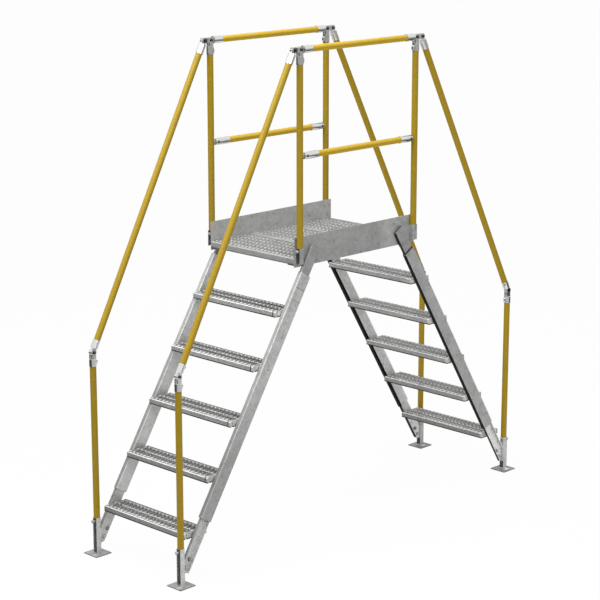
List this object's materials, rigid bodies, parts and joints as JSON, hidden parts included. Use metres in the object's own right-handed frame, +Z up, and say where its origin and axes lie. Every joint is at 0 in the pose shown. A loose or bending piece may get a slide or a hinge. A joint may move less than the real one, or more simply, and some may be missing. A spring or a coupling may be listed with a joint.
{
  "type": "crossover ladder",
  "caption": "A-frame crossover ladder with steep grating treads on both sides, a railed platform on top and sloping tube handrails down to plated feet.",
  "frame": {"origin": "on the floor, midway between the four feet", "axes": "X runs over the obstacle from the left flight to the right, Y runs across the walkway from near to far, Z is up"},
  "size_m": [2.6318, 0.74, 2.596],
  "materials": {
    "galvanised_steel": "hot-dip galvanised, satin, lightly mottled",
    "galvanised_grating": "hot-dip galvanised serrated plank grating",
    "yellow_tube": "yellow powder coat, semi-gloss",
    "bright_fitting": "cast swivel fittings, bright and polished"
  },
  "bodies": {
    "root": {"left_near_foot": "galvanised_steel", "left_far_foot": "galvanised_steel", "right_near_foot": "galvanised_steel", "right_far_foot": "galvanised_steel", "left_leg_stubs": "galvanised_steel", "right_leg_stubs": "galvanised_steel", "near_platform_stubs": "galvanised_steel", "far_platform_stubs": "galvanised_steel", "left_near_stringer": "galvanised_steel", "left_far_stringer": "galvanised_steel", "right_near_stringer": "galvanised_steel", "right_far_stringer": "galvanised_steel", "left_tread_1": "galvanised_grating", "left_tread_2": "galvanised_grating", "left_tread_3": "galvanised_grating", "left_tread_4": "galvanised_grating", "left_tread_5": "galvanised_grating", "right_tread_1": "galvanised_grating", "right_tread_2": "galvanised_grating", "right_tread_3": "galvanised_grating", "right_tread_4": "galvanised_grating", "right_tread_5": "galvanised_grating", "deck_planks": "galvanised_grating", "near_side_plate": "galvanised_steel", "far_side_plate": "galvanised_steel", "near_post_sockets": "galvanised_steel", "far_post_sockets": "galvanised_steel", "near_posts": "yellow_tube", "far_posts": "yellow_tube", "near_top_rail": "yellow_tube", "far_top_rail": "yellow_tube", "near_mid_rail": "yellow_tube", "far_mid_rail": "yellow_tube", "left_near_sloping_rail": "yellow_tube", "left_far_sloping_rail": "yellow_tube", "right_near_sloping_rail": "yellow_tube", "right_far_sloping_rail": "yellow_tube", "left_lower_posts": "yellow_tube", "right_lower_posts": "yellow_tube", "near_top_fittings": "bright_fitting", "far_top_fittings": "bright_fitting", "left_knee_fittings": "bright_fitting", "right_knee_fittings": "bright_fitting", "near_mid_fittings": "bright_fitting", "far_mid_fittings": "bright_fitting"}
  },
  "joints": []
}
